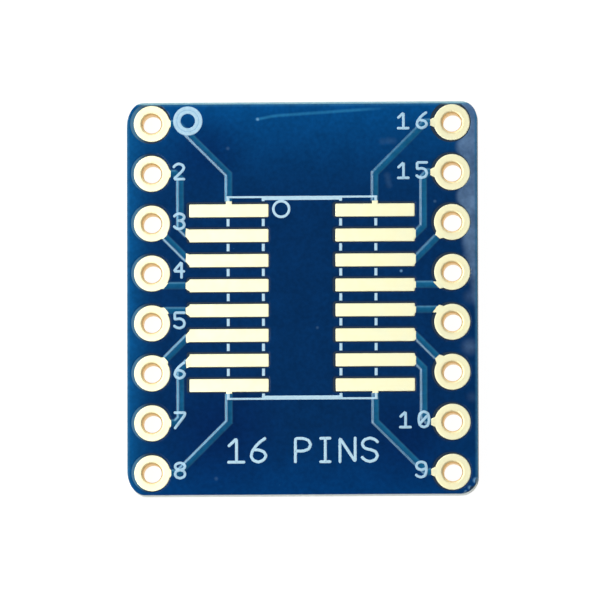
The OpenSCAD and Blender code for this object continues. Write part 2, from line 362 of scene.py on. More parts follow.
net = {
    "hole": 0.475, "ring": 0.915, "barrelGap": 0.001, "turnPoints": 97,
    "knee": 0.11, "edge": 0.018,  # rounding at the mouth of the hole, and at etched edges
    "edgePoints": 6, "padEdgePoints": 5,
    "ringRim": 0.054, "mouthRim": 0.03, "padRim": 0.045,  # flats beside the roundings keep the shading level
    "padHalf": (2.015, 0.33), "padCorner": 0.06,
    "traceHalf": 0.1525, "traceStart": 0.72, "traceLap": 0.045, "searchPoints": 4000,
    "traceLift": 0.0002, "webLift": 0.0001,  # no two faces of the copper lie in one plane
    "traceEdge": [(0, 0.015), (0.006, 0.004), (0.02, 0), (0.03, 0)],  # step in, and depth below the top
    "webEdge": [(1, 0.012), (0.98, 0.003), (0.95, 0), (0.88, 0)],  # share of the size, and the same depth
    # flared ends of the traces: gap to the mask, depth of the root in a pad, place and half width in a ring
    "flareGap": 0.015, "flareRoot": 0.06, "flareRing": (0.86, 0.27),
    "bright": "#FFF9D6", "warm": "#FFF2C2", "boreAmberReflection": "#FADC9F", "amberReach": 2.0, "amberPower": 1.5,
    # patterns scaled by their size in mm, and the roughness from the least to the most of the clouds
    "surface": {"Metallic": 1.0},
    "clouds": {"Scale": 1 / 0.714, "Detail": 4.0, "Roughness": 0.55}, "satin": (0.3, 0.7, 0.47, 0.55),
    "grain": {"Scale": 1 / 0.09, "Detail": 2.0}, "bump": {"Strength": 0.5, "Distance": 0.004 * mm},
}

# Immersion gold over nickel on etched copper: pale lemon metal with a satin, very finely grained face
# that takes the light softly, painted amber inside the holes as a painted reflection of the gold in itself
immersionGold, add, place = newFinish("immersionGold", net["surface"])
clouds = add("TexNoise", {0: place, **net["clouds"]})
grain = add("TexNoise", {0: place, **net["grain"]})
goldTone = add("Mix", {0: clouds, 6: net["bright"], 7: net["warm"]}, **blend)
boreShare = add("Attribute", out="Fac", attribute_name="inBore")
goldTone = add("Mix", {0: boreShare, 6: goldTone, 7: net["boreAmberReflection"]}, **blend)
dress(immersionGold, goldTone, grain, net["bump"], add("MapRange", (clouds, *net["satin"])))


def ringAndBarrel(pin):
    # section of the plated hole carried once round its axis: flat rings with rounded mouths and edges
    top, high = copperTop, boardTop
    hole, ring, mouth, edge = (net[key] for key in ("hole", "ring", "knee", "edge"))
    turn = np.linspace(0, quarterTurn, net["edgePoints"])
    half = np.concatenate([
        [(laminate["drill"] + net["barrelGap"], high), (ring, high)],
        np.column_stack([ring - edge + edge * np.cos(turn), top - edge + edge * np.sin(turn)]),
        [(ring - net["ringRim"], top), (hole + mouth + net["mouthRim"], top)],
        np.column_stack([hole + mouth - mouth * np.sin(turn), top - mouth + mouth * np.cos(turn)])])
    section = np.concatenate([half, (half * (1, -1) + (0, top))[::-1]])
    angle = np.linspace(0, fullTurn, net["turnPoints"])[:, None]
    x, y = holeAt(pin)
    grid = np.stack([x + section[:, 0] * np.cos(angle), y + section[:, 0] * np.sin(angle),
                     np.broadcast_to(section[:, 1], (len(angle), len(section)))], -1)
    # painted reflection: the amber share rises towards the bore
    reach = mouth * net["amberReach"]
    inBore = np.clip((hole + reach - section[:, 0]) / reach, 0, 1) ** net["amberPower"]
    return tube(grid, capped=False), np.tile(inBore * (section[:, 1] > boardFoot), len(angle))


def softPad(pin):
    # flat pad whose upper edge is a quarter round: loops that step in as they rise, then a flat rim
    turn, edge = np.linspace(0, quarterTurn, net["padEdgePoints"]), net["edge"]
    inset = np.concatenate([[0], edge - edge * np.cos(turn), [net["padRim"]]])
    rise = np.concatenate([[boardTop], copperTop - edge + edge * np.sin(turn), [copperTop]])
    return tube(np.stack([atHeight(roundedLoop(padAt(pin), net["padHalf"], net["padCorner"], -i), z)
                          for i, z in zip(inset, rise)]))


def traceBar(pin):
    # flat bar with soft edges carried along the route, from inside the ring to just inside the pad
    path = routeOf(pin)
    length = lengths(path)
    fine = np.linspace(0, length[-1], net["searchPoints"])
    # both corners of the bar's end lie on the pad
    lap = net["traceLap"] + net["traceHalf"] * np.abs(unit(path[-1] - path[-2]))[::-1]
    inPad = (np.abs(spotsAt(fine, path) - padAt(pin)) < np.array(net["padHalf"]) - lap).all(1)
    end = fine[inPad.argmax()] if inPad.any() else length[-1]
    between = length[(length > net["traceStart"]) & (length < end)]
    path = spotsAt(np.concatenate([[net["traceStart"]], between, [end]]), path)
    top = copperTop + net["traceLift"]
    inset, below = np.array([(0, top - boardTop)] + net["traceEdge"]).T
    side = inset - net["traceHalf"]
    across = np.concatenate([side, -side[::-1]])
    flat = path[:, None] + mitres(path)[:, None] * across[None, :, None]
    return tube(atHeight(flat, top - np.concatenate([below, below[::-1]])))


def flareWeb(tip, tipSide, root, rootSide):
    # etching leaves the corners beside the end of a trace filled: a four-sided web from the trace's
    # two edges at the tip to a wider root, drawn in a little as it rises
    web = np.array([tip + tipSide, tip - tipSide, root - rootSide, root + rootSide])
    top = copperTop + net["webLift"]
    steps = [(1, top - boardTop)] + net["webEdge"]
    middle = web.mean(0)
    return tube(np.stack([atHeight(middle + (web - middle) * share, top - below) for share, below in steps]))


def ringFlare(pin):  # along the first leg of the route, as far out as the mask is open
    start, bend = routeOf(pin)[:2]
    way = unit(bend - start)
    aside = np.array([-way[1], way[0]])
    tip = start + way * (layout["ringOpening"] + layout["maskShift"] @ way - net["flareGap"])
    place, half = net["flareRing"]
    return flareWeb(tip, aside * net["traceHalf"], start + way * place, aside * half)


def padFlare(pin):  # along the last leg, from the mask's edge to the corners of the pad's end
    bend, end = routeOf(pin)[-2:]
    out, up = np.array([quarterOf(pin)[0][0], 0]), np.array([0, 1])
    slope = (end - bend)[1] / (end - bend)[0]
    tip = padAt(pin) + out * (layout["padOpening"][0] + layout["maskShift"] @ out - net["flareGap"])
    tip[1] = end[1] + (tip[0] - end[0]) * slope
    root = padAt(pin) + out * (net["padHalf"][0] - net["flareRoot"])
    tipSide = up * net["traceHalf"] * math.hypot(1, slope)
    return flareWeb(tip, tipSide, root, up * (net["padHalf"][1] - net["edge"]))


for pin in pins:
    ring, inBore = ringAndBarrel(pin)
    flat = [traceBar(pin), softPad(pin), ringFlare(pin)]
    if quarterOf(pin)[1] < perQuarter - 1:  # the outermost meet the long side of their pads
        flat.append(padFlare(pin))
    makePiece(f"gold_net_{pin:02d}", [ring] + flat, immersionGold, [f"conductor_{pin}"],
              {"inBore": [inBore] + [np.zeros(len(points)) for points, faces in flat]})
print("copper nets built,", len(pins))


# Solder mask: a thin coat with openings round the rings and pads, banked up over each trace

mask = {
    "thick": 0.025, "lift": 0.0005, "northEnd": 9.87,
    "padOpeningCorner": 0.2, "ringPoints": 96,
    # points along a side, round a corner, a cut corner, along a stub, round a bay and along the north end
    "outlinePoints": (110, 28, 14, 6, 90, 150),
    # step in and share of the thickness: round the openings a thin film runs out ahead of the lip
    "lip": [(-0.045, 0.02), (-0.022, 0.08), (0, 0.14), (0.001, 0.5), (0.004, 0.8), (0.011, 0.95), (0.02, 1),
            (0.028, 1)],
    "edgeLip": [(0, 0.02), (0, 0.3), (0, 0.55), (0.003, 0.75), (0.006, 0.88), (0.011, 0.95), (0.02, 1),
                (0.028, 1)],
    # ragged edge: depth, its mean and gain, share of it beside the bays; place, depth and size of each bite
    "ragged": 0.008, "raggedMean": 0.4, "raggedGain": 1.5, "stubShare": 0.3, "inwardStep": 0.001,
    "bites": [(8.84, -9.33, 0.1, 0.16), (8.6, -9.74, 0.13, 0.14), (8.28, -9.95, 0.06, 0.12)],
    # banks over the traces: section, run on past the pad's edge, spacing along it and depth sunk in the coat
    "crest": 0.07, "footHalf": 0.2325, "rise": 0.038, "bankSteps": 10,
    "bankRun": 0.3, "bankPitch": 0.1, "bankSunk": 0.004, "searchPoints": 1500,
    # copper under the bank: reach and fade of its tint; share on the west and east halves, and its lean; the
    # lean and the difference between the halves are painted shading
    "tintReach": 0.19, "tintFade": 0.06, "tintShare": (0.66, 0.8), "tintLean": np.array([0.2, 0.2]),
    # painted highlight on the shoulders, partly thin coat over the copper's edges: place, width, share, and
    # its change to the east and north
    "glintAt": 0.155, "glintWide": 0.045, "glintShare": 0.2, "glintLean": np.array([-0.75, 0.17]),
    "glintLeast": 0.03, "glintMost": (1.0, 0.42), "sideReach": 0.12,
    "deep": "#062F5C", "north": "#064D88", "south": "#03386E", "west": "#0B5288",
    "rim": "#3A7898", "shoulder": "#6AAACB", "haze": "#617C9C", "copperTintAndShading": "#186188",
    "scuff": "#2C7FAE", "speck": "#7FB2DA", "dust": "#3A6C9E", "dusk": "#041F50",
    # gloss dulled by handling, and patterns scaled by their size in mm, each with the range it is spread over
    "surface": {"Roughness": 0.08, "IOR": 1.54, "Specular IOR Level": 0.28},
    "mottle": {"Scale": 1 / 1.25, "Detail": 6.0, "Roughness": 0.6}, "mottling": (0.25, 0.75, 0.86, 1.12),
    "flecks": {"Scale": 1 / 0.22, "Detail": 3.0}, "flecking": (0.3, 0.7, 0.88, 1.12),
    "peel": {"Scale": 1 / 0.28, "Detail": 2.0}, "bump": {"Strength": 0.5, "Distance": 0.001 * mm},
    "dustPitch": 1.1, "dustSize": 0.055, "dustChoice": (0.62, 0.95, 0, 0.7),
    # where each lighter tone starts and is full, and the power of the rise between
    "fades": [("north", "Y", 4, 10, 2), ("south", "Y", -6.5, -9.9, 1.2), ("west", "X", -7.1, -8.75, 2)],
    # painted sheen along the east edge: swing of its start, start and stop in x, slant, south end in y +
    # slant * x, and how patchy
    "sheenSwing": 0.26, "sheenStart": (7.95, 8.32), "sheenStop": (8.88, 8.74),
    "sheenSlant": 5.0, "sheenSouth": (42.5, 45.3), "sheenPatchy": (0.3, 0.65, 0.5, 0.9),
    # axis, start and full reach of each rim of painted highlight, and its most
    "rimHighlights": [("X", 8.73, 8.9, 0.75), ("X", -8.73, -8.9, 0.75), ("Y", 9.72, 9.9, 0.6)],
    # scuff: slope and height at x = 0, bend at its west end, width, its two ends and its strength
    "scuffLine": (0.065, 9.36), "scuffDroop": (-1.2, -2.4, 0, 0.11), "scuffWide": 0.13,
    "scuffEnds": [(-2.45, -2.2), (4.6, 2.6)], "scuffShare": 0.6,
    "wearAndGlints": [  # place, radius and strength of each worn spot and painted glint
        (-2.24, 9.1, 0.12, 0.75), (5.03, 1.34, 0.11, 0.75), (6.75, 4.87, 0.12, 0.16),
        (4.33, 6.2, 0.26, 0.06), (4.38, 5.95, 0.26, 0.06), (4.43, 5.7, 0.26, 0.05),
        (4.1, 7.93, 0.28, 0.05), (4.4, 7.97, 0.28, 0.06), (4.65, 7.95, 0.28, 0.05),
        (-3.76, 7.62, 0.14, 0.12), (-4.38, -9.18, 0.15, 0.1), (0.77, -1.53, 0.12, 0.12),
        # these three at the chipped south-east corner are painted glints
        (8.77, -9.32, 0.2, 0.9), (8.47, -9.69, 0.15, 0.55), (8.27, -9.9, 0.12, 0.5)],
    # colour, place, radius and strength of each patch of painted sheen or darker tone
    "smudges": [
        ("haze", 8.5, -2.54, 0.6, 0.36), ("haze", 8.55, 0, 0.55, 0.2), ("haze", 8.6, -5.1, 0.4, 0.12),
        ("dusk", -4.2, -6.8, 4.2, 0.62), ("dusk", 5.2, -7.2, 3.2, 0.5), ("dusk", -4.9, 7.5, 2.8, 0.55)],
}
skinTop = boardTop + mask["thick"]

# Photo-cured epoxy solder mask, curtain coated and baked: a glossy navy coat, a little uneven,
# greener and lighter where copper lies under it and brighter towards the cut edges
blueMask, add, place = newFinish("curedBlueMask", mask["surface"])
axes = add("SeparateXYZ", (place,), None)
mottle = add("TexNoise", {0: place, **mask["mottle"]})
layers = []  # colour and share of each tone, from the lowest up


def wornSpots(spots):  # round patches, strongest in the middle
    for colour, x, y, radius, strength in spots:
        away = add("VectorMath", (place, (x, y, skinTop)), "Value", operation="DISTANCE")
        layers.append((colour, add("MapRange", (away, radius, 0, 0, strength), **smooth)))


for colour, axis, start, full, power in mask["fades"]:
    rise = add("MapRange", (axes[axis], start, full))
    layers.append((colour, add("Math", (rise, power), operation="POWER")))
# the painted sheen along the east edge reaches in between the rings: its start swings with the pin pitch
swing = add("Math", (axes["Y"], fullTurn / layout["pinPitch"]), **times)
swing = add("Math", (swing,), operation="COSINE")
eastward = add("Math", (swing, mask["sheenSwing"], axes["X"]), operation="MULTIPLY_ADD")
haze = add("MapRange", (eastward, *mask["sheenStart"]), **smooth)
# it stops short of the edge, and dies out southwards, sooner on its inner side
southing = add("Math", (axes["X"], mask["sheenSlant"], axes["Y"]), operation="MULTIPLY_ADD")
sheenStop = add("MapRange", (axes["X"], *mask["sheenStop"]), **smooth)
sheenSouth = add("MapRange", (southing, *mask["sheenSouth"]), **smooth)
sheenPatchy = add("MapRange", (mottle, *mask["sheenPatchy"]))
for limit in (sheenStop, sheenSouth, sheenPatchy):
    haze = add("Math", (haze, limit), **times)
layers.append(("haze", haze))
wornSpots(mask["smudges"])
# a painted highlight along the long edges and the north end, where the coat's rounded lip catches the light
rimHighlights = [add("MapRange", (axes[axis], start, full, 0, most)) for axis, start, full, most in mask["rimHighlights"]]
rim = rimHighlights[0]
for other in rimHighlights[1:]:
    rim = add("Math", (rim, other), operation="MAXIMUM")
layers.append(("rim", rim))
# the shoulder tone is a painted highlight
for colour, mark in (("copperTintAndShading", "copperTintAndShading"), ("shoulder", "shoulderGlint")):
    layers.append((colour, add("Attribute", out="Fac", attribute_name=mark)))
# long scuff near the north end: strength falls with the distance from a line that droops at its west end
scuffY = add("Math", (axes["X"], *mask["scuffLine"]), operation="MULTIPLY_ADD")
droop = add("MapRange", (axes["X"], *mask["scuffDroop"]), **smooth)
scuffY = add("Math", (scuffY, droop), operation="SUBTRACT")
offScuff = add("Math", (axes["Y"], scuffY), operation="SUBTRACT")
offScuff = add("Math", (offScuff,), operation="ABSOLUTE")
scuff = add("MapRange", (offScuff, mask["scuffWide"], 0), **smooth)
for ends in mask["scuffEnds"]:
    limit = add("MapRange", (axes["X"], *ends), **smooth)
    scuff = add("Math", (scuff, limit), **times)
layers.append(("scuff", add("Math", (scuff, mask["scuffShare"]), **times)))
# fine dust caught in the cure: about one cell in three holds a grain, drawn at 0.055 mm so that it shows
cells = add("TexVoronoi", {0: place, "Scale": 1 / mask["dustPitch"]}, None)
lot = add("SeparateColor", (cells["Color"],), "Red")
chosen = add("MapRange", (lot, *mask["dustChoice"]))
dust = add("MapRange", (cells["Distance"], mask["dustSize"] / mask["dustPitch"], 0), **smooth)
layers.append(("dust", add("Math", (dust, chosen), **times)))
# worn spots, and painted glints at the chipped south-east corner
wornSpots([("speck", *spot) for spot in mask["wearAndGlints"]])
tone = mask["deep"]
for colour, cover in layers:
    tone = add("Mix", {0: cover, 6: tone, 7: mask[colour]}, **blend)
mottling = add("MapRange", (mottle, *mask["mottling"]))
flecks = add("TexNoise", {0: place, **mask["flecks"]})
flecking = add("MapRange", (flecks, *mask["flecking"]))
spread = add("Math", (mottling, flecking), **times)
shade = add("VectorMath", {0: tone, 3: spread}, operation="SCALE")
dress(blueMask, shade, add("TexNoise", {0: place, **mask["peel"]}), mask["bump"])


def skinOutline(inset, shift):
    # once round the mask's edge: sides, corner arcs, and the bays where the end rings' openings run out
    # at the north end; with each point goes its share of the raggedness
    r, long = layout["corner"] - inset, layout["westCorner"] - inset
    x, y = layout["halfWidth"] - layout["corner"], layout["halfLength"] - layout["corner"]
    westY = layout["halfLength"] - layout["westCorner"]
    end, reach = mask["northEnd"] - inset, layout["ringOpening"] + inset
    lean, westLean = math.asin((end - y) / r), math.asin((end - westY) / long)
    east, west = holeAt(pins[-1]) + shift, holeAt(pins[0]) + shift
    mouth = math.asin((end - east[1]) / reach)
    step = reach * math.cos(mouth)
    side, corner, cut, stub, bay, north = mask["outlinePoints"]
    runs = [
        (line((-x, -y - r), (x, -y - r), side), 1), (arc((x, -y), r, -quarterTurn, 0, corner), 1),
        (line((x + r, -y), (x + r, y), side), 1), (arc((x, y), r, 0, lean, cut), 1),
        (line((x + r * math.cos(lean), end), (east[0] + step, end), stub), mask["stubShare"]),
        (arc(east, reach, mouth, -halfTurn - mouth, bay), 0),
        (line((east[0] - step, end), (west[0] + step, end), north), 1),
        (arc(west, reach, mouth, -halfTurn - mouth, bay), 0),
        (line((west[0] - step, end), (-x - r * math.cos(westLean), end), stub), mask["stubShare"]),
        (arc((-x, westY), (r, long), halfTurn - westLean, halfTurn, cut), 1),
        (line((-x - r, westY), (-x - r, -westY), side), 1),
        (arc((-x, -westY), (r, long), halfTurn, halfTurn + quarterTurn, corner), 1)]
    return [np.concatenate(parts) for parts in zip(*[(p, np.full(len(p), rag)) for p, rag in runs])]


def raggedOutline(inset, shift):
    # outline moved inwards by a sum of sines of random pitch, with bites out of the worn south-east corner
    loop, rag = skinOutline(inset, shift)
    inward = unit(skinOutline(inset + mask["inwardStep"], shift)[0] - loop)
    waves = np.sin(loop[:, :1] * roughPitch + loop[:, 1:] * roughPitch[::-1] + roughPhase).mean(1)
    depth = mask["ragged"] * np.clip(mask["raggedMean"] + mask["raggedGain"] * waves, 0, 1)
    for x, y, bite, size in mask["bites"]:
        depth = depth + bite * np.exp(-((loop - (x, y)) ** 2).sum(1) / size ** 2)
    return loop + inward * (depth * rag)[:, None]


def skin(base, face, shift=0, openPads=False):
    # coat from base to face: each edge climbs as a soft lip, a little further in at each step
    steps, edgeSteps = ([(inset, base + share * (face - base)) for inset, share in mask[lip]]
                        for lip in ("lip", "edgeLip"))
    stacks = [np.stack([atHeight(raggedOutline(i, shift), z) for i, z in edgeSteps])]
    for pin in pins:
        hole, pad = holeAt(pin) + shift, padAt(pin) + shift
        if pin not in (pins[0], pins[-1]):
            stacks.append(np.stack([
                atHeight(arc(hole, layout["ringOpening"] + i, 0, fullTurn, mask["ringPoints"]), z)
                for i, z in steps]))
        if openPads:
            stacks.append(np.stack([
                atHeight(roundedLoop(pad, layout["padOpening"], mask["padOpeningCorner"], i), z)
                for i, z in steps]))
    return plate(stacks)


def bankShape(distance):  # 1 over the trace, then half a cosine wave down to 0 at the foot
    t = np.clip((distance - mask["crest"]) / (mask["footHalf"] - mask["crest"]), 0, 1)
    return 0.5 + 0.5 * np.cos(math.pi * t)


def outsidePad(points, pin):  # distance outside the pad's opening, below 0 within it
    corner = mask["padOpeningCorner"]
    d = np.abs(points - padAt(pin) - layout["maskShift"]) - np.array(layout["padOpening"]) + corner
    return np.linalg.norm(np.maximum(d, 0), axis=-1) + np.minimum(d.max(-1), 0) - corner


def bank(pin):
    # cross section of the bank carried along the trace; each of its lines starts at the ring's opening,
    # turns at its own mitred bends and stops at the pad's opening
    path = routeOf(pin)
    path[-1] += unit(path[-1] - path[-2]) * mask["bankRun"]
    side = np.concatenate([[0], np.linspace(mask["crest"], mask["footHalf"], mask["bankSteps"])])
    across = np.concatenate([-side[:0:-1], side])
    bends = path[:, None] + mitres(path)[:, None] * across[None, :, None]
    last, column = len(path) - 1, np.arange(len(across))

    def along(q):  # points at q bends from the start, column by column
        i = np.clip(np.floor(q), 0, last - 1).astype(int)
        f = (q - i)[..., None]
        return bends[i, column] * (1 - f) + bends[i + 1, column] * f

    count = mask["searchPoints"] * last + 1
    fine = np.broadcast_to(np.linspace(0, last, count)[:, None], (count, len(across)))
    points = along(fine)
    inRing = np.linalg.norm(points - holeAt(pin) - layout["maskShift"], axis=-1) < layout["ringOpening"]
    inPad = outsidePad(points, pin) < 0
    start = fine[count - 1 - inRing[::-1].argmax(0), 0]
    end = fine[inPad.argmax(0), 0]
    knots = [start] + [np.full(len(across), k) for k in range(1, last) if start.max() < k < end.min()] + [end]
    runs = [np.linalg.norm(along(b[None]) - along(a[None]), axis=-1).max() for a, b in zip(knots, knots[1:])]
    q = np.concatenate([np.linspace(a, b, max(2, int(run / mask["bankPitch"])), endpoint=False)
                        for a, b, run in zip(knots, knots[1:], runs)] + [end[None]])
    flat = along(q)
    top = atHeight(flat, skinTop + mask["rise"] * bankShape(np.abs(across)))
    foot = atHeight(flat, skinTop - mask["bankSunk"])[:, ::-1]
    shell = tube(np.concatenate([top, foot], 1))
    # copper shows through as a tint, painted stronger on the side away from the light and on the east half as
    # painted shading
    half = int(pin > perSide)
    leg = np.clip(np.floor(q).astype(int), 0, last - 1)
    lean = np.clip(across / mask["sideReach"], -1, 1)[:, None] * normals(path)[leg]  # to the east and north
    tint = np.clip(mask["tintShare"][half] + lean @ mask["tintLean"], 0, 1)
    tint = tint * np.clip((mask["tintReach"] - np.abs(across)) / mask["tintFade"], 0, 1)
    # and a painted highlight on the shoulders, strongest where they face the west light and on the west half,
    # partly the coat thinning over the copper's edges: a bell curve of the distance from the shoulder
    thin = np.clip(mask["glintShare"] + lean @ mask["glintLean"], mask["glintLeast"], mask["glintMost"][half])
    thin = thin * np.exp(-((np.abs(across) - mask["glintAt"]) / mask["glintWide"]) ** 2)
    return shell, [np.concatenate([mark, mark[:, ::-1]], 1).reshape(-1) for mark in (tint, thin)]


bankMarks = ("copperTintAndShading", "shoulderGlint")
coat = skin(boardTop + mask["lift"], skinTop, layout["maskShift"], True)
banks = [bank(pin) for pin in pins]
shells = [coat] + [shell for shell, marks in banks]
makePiece("mask_top", shells, blueMask, ["solder_mask_top"],
          {key: [np.zeros(len(coat[0]))] + [marks[i] for shell, marks in banks]
           for i, key in enumerate(bankMarks)})
coat = skin(boardFoot - mask["lift"], boardFoot - mask["thick"])
makePiece("mask_underside", [coat], blueMask, ["solder_mask_bottom"],
          {key: [np.zeros(len(coat[0]))] for key in bankMarks})
print("solder mask built,", len(banks), "banked traces")


# Legend: white ink screened onto the mask, laid over the banks where it crosses them

legend = {
    "thick": 0.0175, "sunk": 0.003,
    "stroke": 0.155, "endStrokes": (0.108, 0.135), "numberStroke": 0.14,
    "strokePitch": 0.03, "probe": 0.002,
    "leastSteps": 4, "acrossPoints": 11, "capPoints": 7, "circlePoints": 120,
    "wideBody": (3.75, 5.13), "narrowBody": (1.965, 5.04),
    "heavyRing": (-5.79, 9.03), "heavyRadii": (0.462, 0.65), "heavyStroke": 0.195,
    "thinCircle": (-1.05, 4.52), "thinRadius": 0.4,
    "numberSize": (0.51, 0.78), "numberAdvance": 0.94,
    # softened bends: cut as a share of the letter's width, less the second time, at most a share of the leg;
    # least cosine of a gentle bend, and the share of the cut that is left at a sharp one
    "bendCut": 0.2, "secondCut": 2.5, "legShare": 0.4, "gentle": 0.4, "sharpShare": 0.3,
    "numbers": [  # text, its west end, and the height of its middle
        ("2", -6.5, 6.46), ("3", -6.48, 3.92), ("4", -6.515, 1.455), ("5", -6.48, -1.125),
        ("6", -6.48, -3.68), ("7", -6.465, -6.205), ("8", -6.465, -8.755),
        ("9", 5.77, -8.765), ("10", 4.97, -6.22), ("15", 4.9, 6.46), ("16", 4.9, 8.99)],
    "word": "16 PINS", "wordAt": (-3.745, -8.345), "wordSize": (0.77, 1.19), "wordAdvance": 1.13,
    "white": "#C3DEEA", "thin": "#7FB0D2",
    "leastThin": {"pin_numbers": 0.61, "first_pin_ring": 0.57},  # these are printed thinner all over
    # weave scaled by its size in mm; share of the thin colour by the thinness and by the weave
    "surface": {"Roughness": 0.55, "IOR": 1.5}, "weave": {"Scale": 1 / 0.12, "Detail": 3.0},
    "edgeShare": (0.45, 1.0, 0, 0.85), "weaveShare": (0.3, 0.75, 0, 0.3),
    "bump": {"Strength": 0.4, "Distance": 0.004 * mm},
}
routeBends = [routeOf(pin) for pin in pins]
routeStart = np.concatenate([path[:-1] for path in routeBends])
routeWay = np.concatenate([np.diff(path, axis=0) for path in routeBends])


def maskHeight(points):
    # height of the mask: the flat coat, plus the bank by the distance to the nearest trace
    gap = points[..., None, :] - routeStart
    t = np.clip((gap * routeWay).sum(-1) / (routeWay ** 2).sum(-1), 0, 1)
    distance = np.linalg.norm(gap - t[..., None] * routeWay, axis=-1).min(-1)
    return skinTop + mask["rise"] * bankShape(distance)


def softBends(path, cut, closed=False):
    # each bend is replaced by two points, up to cut away on both sides, less at sharp corners; done twice
    path = np.asarray(path, float)
    for size in (cut, cut / legend["secondCut"]):
        ring = np.concatenate([path[-1:], path, path[:1]]) if closed else path
        way = np.diff(ring, axis=0)
        length = np.linalg.norm(way, axis=1)[:, None]
        step = way / length * np.minimum(size, length * legend["legShare"])
        gentle = (way[:-1] * way[1:]).sum(1)[:, None] > legend["gentle"] * length[:-1] * length[1:]
        ease = np.where(gentle, 1, legend["sharpShare"])
        bends = np.stack([ring[1:-1] - step[:-1] * ease, ring[1:-1] + step[1:] * ease], 1).reshape(-1, 2)
        path = bends if closed else np.concatenate([path[:1], bends, path[-1:]])
    return path


def stroke(path, width, closed=False, rounded=True):
    # ribbon of ink along a path: the half width shrinks as a half circle past each end,
    # and the crown's height is the root of one less the fourth power of the distance from the middle
    path = np.asarray(path, float)
    half, probe = width / 2, legend["probe"]
    if closed:
        path = np.concatenate([path, path[:1]])
    end = lengths(path)[-1]
    at = np.linspace(0, end, max(legend["leastSteps"], int(end / legend["strokePitch"])))
    cap = half * np.sin(np.linspace(0, quarterTurn, legend["capPoints"]))[1:]
    if rounded and not closed:
        at = np.concatenate([-cap[::-1], at, at[-1] + cap])
    over = np.maximum(np.maximum(-at, at - end), 0)
    inside = np.clip(at, probe, end - probe)
    way = unit(spotsAt(inside + probe, path) - spotsAt(inside - probe, path))
    spot = spotsAt(at, path) + way * (np.sign(at) * over)[:, None]
    reach = np.sqrt(np.maximum(half ** 2 - over ** 2, 0))
    v = np.sin(np.linspace(-1, 1, legend["acrossPoints"]) * quarterTurn)
    flat = spot[:, None] + np.stack([-way[:, 1], way[:, 0]], -1)[:, None] * (reach[:, None] * v)[..., None]
    rim = np.minimum((reach[:, None] * v / half) ** 2 + (over[:, None] / half) ** 2, 1)
    bed = maskHeight(flat)
    top = atHeight(flat, bed + legend["thick"] * np.sqrt(1 - rim ** 2))
    foot = atHeight(flat, bed - legend["sunk"])[:, ::-1]
    thin = np.concatenate([rim, rim[:, ::-1]], 1).reshape(-1)
    return tube(np.concatenate([top, foot], 1), capped=not closed), thin


# letters as bends in a unit box; a loop ends where it starts
letters = {
    "0": [[(.25, 0), (.75, 0), (1, .22), (1, .78), (.75, 1), (.25, 1), (0, .78), (0, .22), (.25, 0)],
          [(.22, .3), (.78, .7)]],
    "1": [[(.03, .7), (.52, 1), (.52, 0)], [(0, 0), (1, 0)]],
    "2": [[(0, .8), (.22, 1), (.75, 1), (1, .82), (1, .64), (.02, 0), (1, 0)]],
    "3": [[(0, .84), (.22, 1), (.75, 1), (1, .84), (1, .7), (.76, .54), (.45, .54)],
          [(.45, .54), (.76, .54), (1, .36), (1, .18), (.75, 0), (.22, 0), (0, .16)]],
    "4": [[(.78, 0), (.78, 1), (0, .4), (1, .4)]],
    "5": [[(.98, 1), (.03, 1), (.03, .56), (.3, .62), (.72, .62), (1, .42), (1, .2), (.74, 0), (.22, 0),
           (0, .14)]],
    "6": [[(.92, 1), (.5, .82), (.14, .52), (0, .3), (.05, .15), (.3, 0), (.7, 0), (1, .2), (1, .32),
           (.74, .52), (.14, .52)]],
    "7": [[(0, 1), (1, 1), (1, .84), (.02, 0)]],
    "8": [[(.25, .53), (0, .7), (0, .83), (.25, 1), (.75, 1), (1, .83), (1, .7), (.75, .53), (.25, .53)],
          [(.25, .53), (0, .36), (0, .17), (.25, 0), (.75, 0), (1, .17), (1, .36), (.75, .53), (.25, .53)]],
    "9": [[(1, .62), (.75, .48), (.25, .48), (0, .64), (0, .83), (.25, 1), (.75, 1), (1, .83), (1, .24),
           (.75, 0), (.22, 0), (0, .14)]],
    "P": [[(0, 0), (0, 1), (.72, 1), (1, .82), (1, .64), (.72, .46), (0, .46)]],
    "I": [[(.2, 1), (.8, 1)], [(.5, 1), (.5, 0)], [(.2, 0), (.8, 0)]],
    "N": [[(0, 0), (0, 1), (1, 0), (1, 1)]],
    "S": [[(1, .84), (.75, 1), (.25, 1), (0, .82), (0, .68), (.25, .51), (.75, .51), (1, .32), (1, .18),
           (.75, 0), (.25, 0), (0, .18)]],
    " ": [],
}


def lettering(text, start, size, advance, width):
    # strokes of each letter, scaled to size and set side by side from start, the foot of the first
    strokes = []
    for i, letter in enumerate(text):
        for bends in letters[letter]:
            closed = bends[0] == bends[-1]
            path = np.array(bends[:-1] if closed else bends) * size + start + (i * advance, 0)
            strokes.append(stroke(softBends(path, size[0] * legend["bendCut"], closed), width, closed))
    return strokes


# Screen-printed white epoxy ink: flat, slightly chalky, blue where it thins at the strokes' edges,
# with the faint weave of the screen drawn at 0.12 mm so that it shows
legendInk, add, place = newFinish("screenedInk", legend["surface"])
thinness = add("Attribute", out="Fac", attribute_name="thinness")
edgeShare = add("MapRange", (thinness, *legend["edgeShare"]))
weave = add("TexNoise", {0: place, **legend["weave"]})
weaveShare = add("MapRange", (weave, *legend["weaveShare"]))
inkShare = add("Math", (edgeShare, weaveShare), operation="ADD", use_clamp=True)
inkTone = add("Mix", {0: inkShare, 6: legend["white"], 7: legend["thin"]}, **blend)
dress(legendInk, inkTone, weave, legend["bump"])


def inkPiece(name, strokes, replaced=()):
    makePiece(name, [shell for shell, thin in strokes], legendInk, replaced,
              {"thinness": [np.maximum(thin, legend["leastThin"].get(name, 0)) for shell, thin in strokes]})


def inkCircle(centre, radius, width):
    return stroke(arc(centre, radius, 0, fullTurn, legend["circlePoints"]), width, True)


